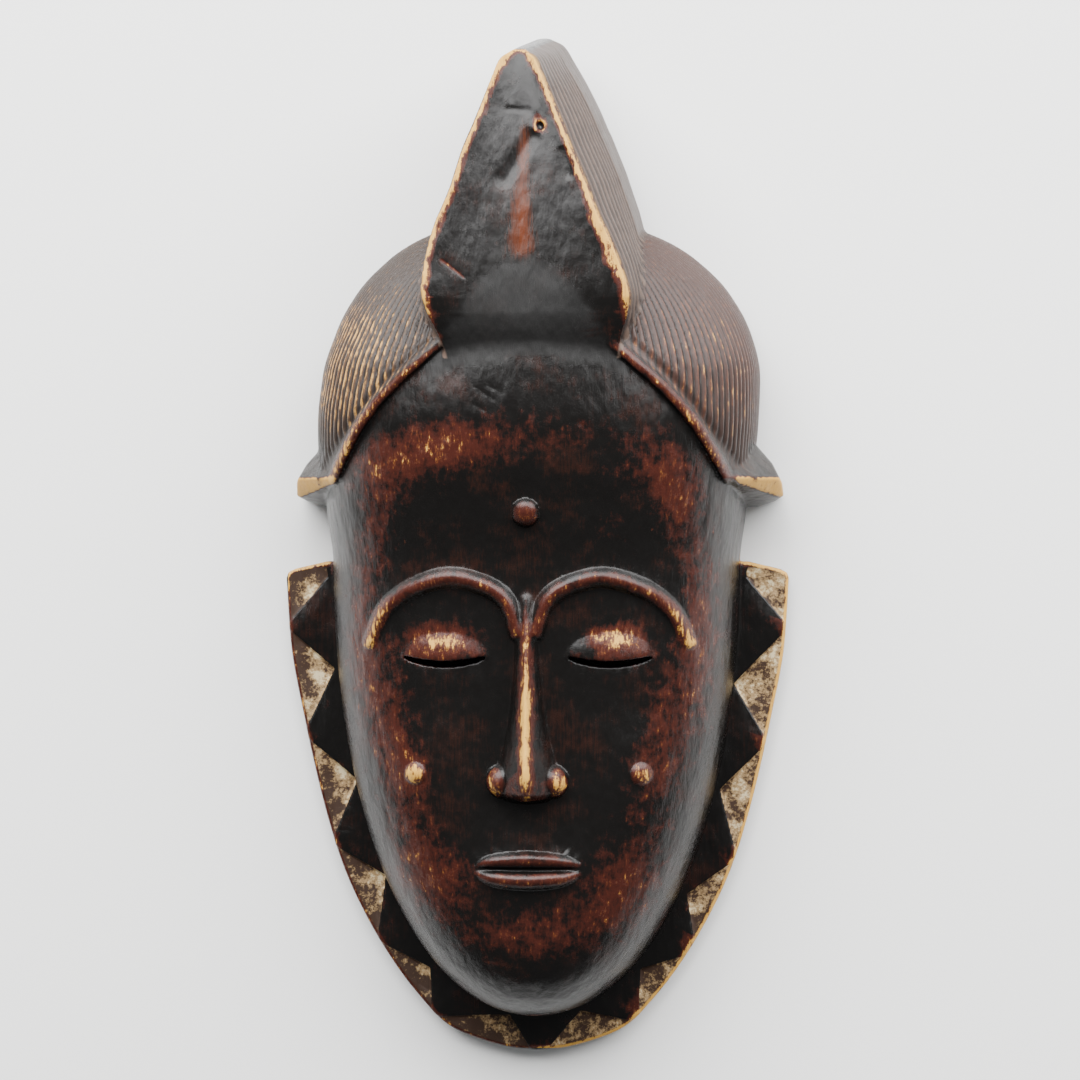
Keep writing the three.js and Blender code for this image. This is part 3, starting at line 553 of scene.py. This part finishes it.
# The lobes lie beyond one slanting line and below another
on_lobe = ramp(out_x - 77 - 0.35 * (38 - py), 0, 1.5) * (py > 8)
on_lobe = on_lobe * ramp(37.5 - py - 0.55 * np.maximum(0, 81 - out_x), 0, 1.5)
on_hair = ramp(past_edge, 0.5, 3.0) * (1 - ramp(on_crest, 0.3, 0.7))
on_hair = on_hair * ramp(HAIR_TOP_ANGLE - 1 - around, 0, 3) * (1 - on_lobe)
from_outline = -look_up(plate, [xs[0], ys[0]])
to_roll, _ = to_path(np.abs(px), py, smooth_path(ROLL, 30))
to_brow, _ = to_path(np.abs(px), py, smooth_path(BROW, 40))
fields = {
    "sharp": look_up(stands_out, start),
    "to_crest_edge": in_front,
    "on_crest": on_crest,
    "crest_turn": GROOVES * crest_depth / GROOVED,
    "hair_turn": (around - HAIR_BACK_ANGLE) / RIDGE_ANGLE,
    "on_hair": on_hair,
    "on_lobe": on_lobe,
    "from_outline": np.clip(from_outline, -5, 30),
    "back": np.maximum(look_up(in_hollow, start), ramp(-pz, -0.4, -0.1)),
}
# Where the stain is rubbed: forehead band, cheeks, jaw, temples
# [x, y, half width, half height, degrees it is turned, amount]
RUBBED = [
    [-44, 31, 26, 11, 12, 0.46], [-20, 36, 20, 10, 0, 0.36], [46, 27, 18, 15, -28, 0.34],
    [14, 40, 22, 9, 0, 0.24], [-54, 8, 8, 24, 0, 0.34], [-50, -72, 12, 40, 12, 0.50],
    [50, -70, 12, 40, -12, 0.44], [-38, -122, 18, 16, -32, 0.46], [34, -126, 20, 16, 28, 0.44],
    [0, -142, 28, 12, 0, 0.40], [-62, -30, 8, 32, 0, 0.32], [63, -24, 8, 38, 0, 0.38],
    [30, 6, 9, 7, 0, 0.26], [54, 14, 8, 22, 0, 0.30],
]
worn = 0.0
for x, y, wide, tall, turned, amount in RUBBED:
    worn = worn + amount * spot(x, y, wide, tall, turned)
# Nose ridge and wings, lids, knobs, brows, lips
nose_line = np.exp(-(px / 2.8) ** 2) * ramp(py, NOSE_Y - 2, NOSE_Y + 8) * ramp(BROW_Y - 4 - py, 0, 12)
worn = worn + (1.0 - 0.5 * ramp(py, NOSE_Y + 30, NOSE_Y + 55)) * nose_line
worn = worn + 0.72 * (spot(-11, NOSE_Y + 5, 5.5, 5) + spot(11, NOSE_Y + 5, 5.5, 5))
worn = worn + 1.0 * (spot(-EYE_X - 1, SLIT_Y + 6, 13, 5.5) + spot(EYE_X + 2, SLIT_Y + 6.5, 11, 5.5))
worn = worn + 0.38 * spot(0, BROW_Y + 26, 4.6, 4.6) + 0.7 * spot(-41, NOSE_Y + 8, 4.5, 4.5)
worn = worn + 0.4 * spot(41, NOSE_Y + 8, 4.5, 4.5) + 0.3 * spot(0, MOUTH_Y, 22, 6)
worn = worn + 0.40 * np.exp(-(to_brow / 2.8) ** 2)
# Rolled hairline and the ends of the lobes
worn = worn + np.where(px < 0, 0.52, 0.38) * np.exp(-(to_roll / 2.4) ** 2) * (pz > 15)
lobe_end = ramp(24.4 - py, -0.6, 0.8) * ramp(py - (46.4 - 0.323 * out_x), -0.8, 0.8)
worn = worn + 1.15 * (lobe_end * ramp(out_x, 74, 77) * (pz > 4))
# The front edges of the crest down to the widest part, the lip of its knot hole and a scratch
edge_wide = np.where(px < 0, 1.6, 1.5 + 2.6 * spot(35, 104, 30, 20)) + 1.6 * ramp(crest_level, 164, 175)
edge_here = ramp(crest_level, 78, 88) * on_crest * ramp(0.10 - crest_depth, 0, 0.05)
worn = worn + 1.0 * edge_here * ramp(edge_wide - np.maximum(in_front, 0), -2.4, 1.2)
hole = np.hypot(px - KNOT_HOLE[0], py - (KNOT_HOLE[1] + KNOT_HOLE[3]) / 2)
worn = worn + 0.9 * np.exp(-((hole - 2.0) / 0.7) ** 2) * (pz > 50)
scratch, _ = to_path(px, py, np.array([[*SCRATCH[0:2], 0.0], [*SCRATCH[2:4], 0.0]]))
worn = worn + 0.7 * np.exp(-(scratch / 0.6) ** 2) * (pz > 60)
# The border's edge, most on the right side and at the corners
edge_wear = np.where(px > 0, 1.0, 0.42 + 0.5 * ramp(py, -26, -12))
edge_wear = 1.05 * edge_wear * ramp(2.6 - from_outline, 0, 2.0) * ramp(pz, 3.5, 7.5)
worn = worn + edge_wear * (py < -4) * (pz < 10)
fields["wear"] = worn
# A warm streak down the middle of the crest, and the dull ground below it
streak = spot(-1.2, 118, 3.8, 13) + 0.75 * spot(-0.6, 141, 2.6, 12) + 0.6 * spot(-1.5, 107, 6.5, 5)
fields["warm"] = streak * on_crest * ramp(in_front, 2, 6)
dull = ramp(101 - 0.03 * px**2 - py, -1.5, 1.5) * ramp(py - forehead_end(px), -1, 1)
fields["dull"] = dull * (pz > 50) * (np.abs(px) < 48) * (1 - on_hair) * ramp(to_roll, 2.0, 3.2)
for name, values in fields.items():
    held = mesh.attributes.new(name, "FLOAT", "POINT")
    held.data.foreach_set("value", np.asarray(values, dtype=np.float32))


class Value:
    """A shader socket that can be used in sums and products."""

    def __init__(self, tree, socket=None):
        self.tree = tree
        self.socket = socket

    def node(self, kind, settings, inputs, output=0):
        made = self.tree.nodes.new(kind)
        for name, value in settings.items():
            setattr(made, name, value)
        for name, value in inputs.items():
            if isinstance(value, Value):
                self.tree.links.new(value.socket, made.inputs[name])
            else:
                made.inputs[name].default_value = value
        return Value(self.tree, made.outputs[output])

    def maths(self, operation, *others):
        return self.node("ShaderNodeMath", {"operation": operation}, dict(enumerate((self, *others))))

    def __add__(self, other):
        return self.maths("ADD", other)

    __radd__ = __add__

    def __mul__(self, other):
        return self.maths("MULTIPLY", other)

    __rmul__ = __mul__

    def __sub__(self, other):
        return self.maths("SUBTRACT", other)

    def __rsub__(self, other):
        return self * -1 + other

    def ramp(self, low, high):
        return self.node("ShaderNodeMapRange", {"interpolation_type": "SMOOTHSTEP"},
                         {"Value": self, "From Min": low, "From Max": high})

    def mix(self, first, second):
        return self.node("ShaderNodeMix", {"data_type": "RGBA"}, {0: self, 6: first, 7: second}, 2)


# One material: black and brown stain, red where it has worn thin, bare wood on edges and ridges,
# chalk in the border's triangles, and raw hewn wood in the hollow and under the rim
wood = bpy.data.materials.new("stained_wood")
wood.use_nodes = True
tree = wood.node_tree
shader = tree.nodes["Principled BSDF"]
here = Value(tree)
spots = here.node("ShaderNodeTexCoord", {}, {}, "Object")


def field(name):
    return here.node("ShaderNodeAttribute", {"attribute_name": name}, {}, "Fac")


def noise(scale, detail, rough=0.55, stretch=(1, 1, 1)):
    """Noise with about this many waves a millimetre, drawn out along an axis."""
    vector = here.node("ShaderNodeVectorMath", {"operation": "MULTIPLY"},
                       {0: spots, 1: tuple(1000 * scale * v for v in stretch)})
    return here.node("ShaderNodeTexNoise", {},
                     {"Vector": vector, "Scale": 1.0, "Detail": detail, "Roughness": rough})


def millimetres(axis):
    return here.node("ShaderNodeSeparateXYZ", {}, {"Vector": spots}, axis) * 1000


blotch = noise(0.05, 4)
patch = noise(0.2, 5, 0.65)
grain = noise(1.0, 3, 0.6, (1.6, 0.07, 1.6))
fleck = noise(0.6, 4, 0.7, (1.3, 0.36, 1.3))
dust = noise(2.4, 3, 0.7)
speck = noise(0.9, 4, 0.75)
smear = noise(0.1, 5, 0.7)
across = millimetres("X")
upward = millimetres("Y")
height = millimetres("Z")

# Which part of the mask a point is on, and how much wear it has. Both combs are 1 on a ridge and 0 in
# the groove beside it
hair = field("on_hair")
comb = (field("hair_turn") * math.pi).maths("SINE").maths("ABSOLUTE")
crest_edge = field("to_crest_edge")
flank = field("on_crest").ramp(0.3, 0.7) * (crest_edge * -1).ramp(-0.6, 0.4)
crest_comb = (field("crest_turn") * math.pi).maths("SINE").maths("ABSOLUTE") * -1 + 1
from_outline = field("from_outline")
on_border = (upward * -1).ramp(7.5, 9.0) * (height * -1).ramp(-BORDER_THICK - 0.7, -BORDER_THICK - 0.3)
on_border = on_border * height.ramp(BORDER_THICK - 3.5, BORDER_THICK - 2.5)
chalk = (height * -1 + (dust - 0.5) * 0.3).ramp(0.25 - BORDER_THICK, 0.5 - BORDER_THICK)
chalk = on_border * chalk * from_outline.ramp(0.9, 1.5)
dull = field("dull")
back = field("back")
left = (across * -1).ramp(-20, 20)
wear = field("wear") + (patch - 0.5) * 1.0 + (fleck - 0.5) * 0.55 + field("sharp") * 0.4 - 0.06
wear = wear * (1 - hair * 0.7) * (1 - dull * 0.8)
red_hair = across.ramp(-20, 60)
hair_spot = (upward - 66).maths("ABSOLUTE") * -1
hair_bare = (across * -1).ramp(25, 62) * hair_spot.ramp(-36, -12) * 0.44
hair_bare = hair_bare + across.ramp(30, 60) * hair_spot.ramp(-34, -10) * 0.22
hair_bare = hair_bare * height.ramp(6, 44)
hair_wear = (comb - 0.75) * 1.2 + (patch - 0.5) * 0.9 + (fleck - 0.5) * 1.6 + hair_bare + 0.04
crest_wear = (crest_comb - 0.6) * 0.5 + (patch - 0.5) * 0.7 + (fleck - 0.5) * 0.9

# Colours, from the first coat of stain to what lies over it
black = (0.0042, 0.0037, 0.0034, 1)
brown = (0.0155, 0.0060, 0.0042, 1)
red = (0.041, 0.0098, 0.0064, 1)
orange = (0.112, 0.034, 0.012, 1)
pale = (0.52, 0.285, 0.050, 1)
tan = (0.31, 0.118, 0.026, 1)
ash = (0.026, 0.0165, 0.0120, 1)
soot = (0.0050, 0.0047, 0.0045, 1)
ember = (0.066, 0.0125, 0.0012, 1)
umber = (0.031, 0.0148, 0.0082, 1)
cream = (0.29, 0.188, 0.088, 1)
white = (0.52, 0.43, 0.26, 1)
groove_dark = (0.0085, 0.0050, 0.0040, 1)
hair_low = (0.013, 0.0085, 0.0065, 1)
hair_red = (0.040, 0.020, 0.0155, 1)
hair_warm = (0.100, 0.048, 0.019, 1)
hair_russet = (0.098, 0.036, 0.020, 1)
hair_pale = (0.44, 0.235, 0.060, 1)
side_dark = (0.026, 0.0170, 0.0135, 1)
side_dusty = (0.080, 0.052, 0.039, 1)
side_bare = (0.19, 0.115, 0.062, 1)
lobe_dark = (0.007, 0.0052, 0.0044, 1)
lobe_brown = (0.020, 0.0145, 0.012, 1)
raw_dark = (0.060, 0.030, 0.015, 1)
raw_pale = (0.165, 0.088, 0.042, 1)
colour = (blotch + (grain - 0.5) * 0.5 + (patch - 0.5) * 0.4).ramp(0.48, 0.80).mix(black, brown)
colour = wear.ramp(0.14, 0.50).mix(colour, red)
flaked = fleck + dust * 0.3 + wear * 0.6
colour = flaked.ramp(0.98, 1.20).mix(colour, orange)
bare = (grain + dust * 0.5 + wear * 0.3).ramp(0.68, 1.10).mix(tan, pale)
colour = flaked.ramp(1.14, 1.22).mix(colour, bare)
glow = (field("warm") * 0.8 + (grain - 0.5) * 0.8).ramp(0.15, 0.85)
colour = (glow * (1 - dull)).mix(colour, ember)
colour = (dull * 0.9).mix(colour, soot)

# Hair: dark grooves, strands redder to the right, bare along their ridges, darker towards the lobes
strand = (comb + (fleck - 0.5) * 0.5).ramp(0.25, 0.7).mix(groove_dark, red_hair.mix(ash, hair_red))
strand_warm = red_hair.mix(hair_warm, hair_russet)
strand = hair_wear.ramp(0.34, 0.66).mix(strand, strand_warm)
strand = hair_wear.ramp(0.62, 0.85).mix(strand, hair_pale)
strand = ((upward * -1).ramp(-72, -28) * 0.65).mix(strand, hair_low)
colour = hair.mix(colour, strand)

# Sides of the crest and the lobes: dusty brown
side_strand = (crest_comb + (fleck - 0.5) * 0.9 + (patch - 0.5) * 0.8).ramp(0.15, 0.85)
side_strand = side_strand.mix(side_dark, side_dusty)
side_strand = crest_wear.ramp(0.25, 0.75).mix(side_strand, side_bare)
colour = flank.mix(colour, side_strand)
lobe_wood = (patch + (grain - 0.5) * 0.5).ramp(0.35, 0.7)
lobe_wood = lobe_wood.mix(lobe_dark, lobe_brown)
colour = (field("on_lobe") * (1 - wear.ramp(0.5, 0.62))).mix(colour, lobe_wood)

# Triangles: chalk left in patches, less on the left side and in its corner, and all of them darker and
# browner towards the chin
lime = (patch - 0.5) * 1.1 + (smear - 0.5) * 1.2 + (speck - 0.5) * 1.1 + (dust - 0.5) * 0.4
lime = lime + (from_outline.ramp(3, 10) - 0.5) * left * 0.26 + 0.54
lime = lime - left * (upward.ramp(-45, -30) * 0.16 + 0.03) - (upward * -1).ramp(70, 160) * 0.13
chalked = lime.ramp(0.34, 0.66).mix(umber, cream)
chalked = lime.ramp(0.66, 0.86).mix(chalked, white)
colour = chalk.mix(colour, chalked)

# Back: hewn and never stained
hewn = (grain + (patch - 0.5) * 0.8).ramp(0.3, 0.75).mix(raw_dark, raw_pale)
colour = back.mix(colour, hewn)
tree.links.new(colour.socket, shader.inputs["Base Color"])

# A half gloss from handling, duller where bare, chalked or raw
shader.inputs["Specular IOR Level"].default_value = 0.25
rough = (patch - 0.5) * 0.2 + 0.25 + wear.ramp(0.5, 0.8) * 0.22 + hair * 0.14 + chalk * 0.35 + flank * 0.2
rough = rough + dull * 0.25
rough = rough * (1 - back) + back * 0.78
tree.links.new(rough.socket, shader.inputs["Roughness"])

# Shallow tool marks, cuts along the grain and pores
dents = noise(0.16, 2, 0.5, (1, 0.5, 1))
cuts = noise(1.3, 3, 0.7, (1.5, 0.12, 1.5))
pits = noise(3.2, 2, 0.6)
adze = noise(0.07, 1, 0.5, (1, 0.45, 1)) * back * 2.2
marks = dents * (1 - hair * 0.7) * 0.7 + cuts * 0.12 + pits * 0.05 + wear.ramp(0.6, 0.8) * -0.10 + adze
bump = here.node("ShaderNodeBump", {}, {"Height": marks, "Strength": 1.0, "Distance": 0.001})
tree.links.new(bump.socket, shader.inputs["Normal"])
mesh.materials.clear()
mesh.materials.append(wood)
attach(mask, "root")
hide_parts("mask")

# Floor: a plain studio table under pale matt paper, cut from one wide roll, which runs past the
# picture on every side.
floor_mesh = bpy.data.meshes.new("floor")
floor_mesh.from_pydata([(-3, -3, 0), (3, -3, 0), (3, 3, 0), (-3, 3, 0)], [], [(0, 1, 2, 3)])
floor = bpy.data.objects.new("floor", floor_mesh)
bpy.context.scene.collection.objects.link(floor)
paper = bpy.data.materials.new("paper")
paper.use_nodes = True
paper_shader = paper.node_tree.nodes["Principled BSDF"]
paper_shader.inputs["Base Color"].default_value = (0.86, 0.86, 0.85, 1)
paper_shader.inputs["Roughness"].default_value = 0.9
floor_mesh.materials.append(paper)

# Light: two large soft boxes beyond the crest, the stronger one to the left, and a pale room around
# them that fills the shadows a little.
# [name, place, watts], and the point that both look at
LAMPS = (("key", (-0.6, 1.25, 1.0), 122), ("fill", (0.95, 1.1, 0.9), 94))
LIT = Vector((0, 0, 0.04))
for name, lamp_at, watts in LAMPS:
    lamp_data = bpy.data.lights.new(name, "AREA")
    lamp_data.size = 1.6
    lamp_data.energy = watts
    lamp = bpy.data.objects.new(name, lamp_data)
    lamp.location = lamp_at
    lamp.rotation_euler = (LIT - Vector(lamp_at)).to_track_quat("-Z", "Y").to_euler()
    bpy.context.scene.collection.objects.link(lamp)
world = bpy.data.worlds.new("room")
world.use_nodes = True
room = world.node_tree.nodes["Background"]
room.inputs["Color"].default_value = (0.97, 0.985, 1.0, 1)
room.inputs["Strength"].default_value = 0.25
bpy.context.scene.world = world

# Camera: over the lying mask and square to it, but for a few degrees towards +X. Its square picture
# is as many pixels wide as the photograph, and each of them covers PIXEL metres at the rim.
DISTANCE = 1.6
PHOTO_PIXELS = 1080
PIXEL = 0.3766e-3
FRAME_WIDE = PIXEL * PHOTO_PIXELS
aim = Vector((0.0008, 0.0022, 0.0))
turn = math.radians(3.5)
camera_data = bpy.data.cameras.new("camera")
camera_data.lens = camera_data.sensor_width * DISTANCE / FRAME_WIDE
camera = bpy.data.objects.new("camera", camera_data)
camera.location = aim + Vector((math.sin(turn), 0, math.cos(turn))) * DISTANCE
camera.rotation_euler = (0, turn, 0)
bpy.context.scene.collection.objects.link(camera)
bpy.context.scene.camera = camera
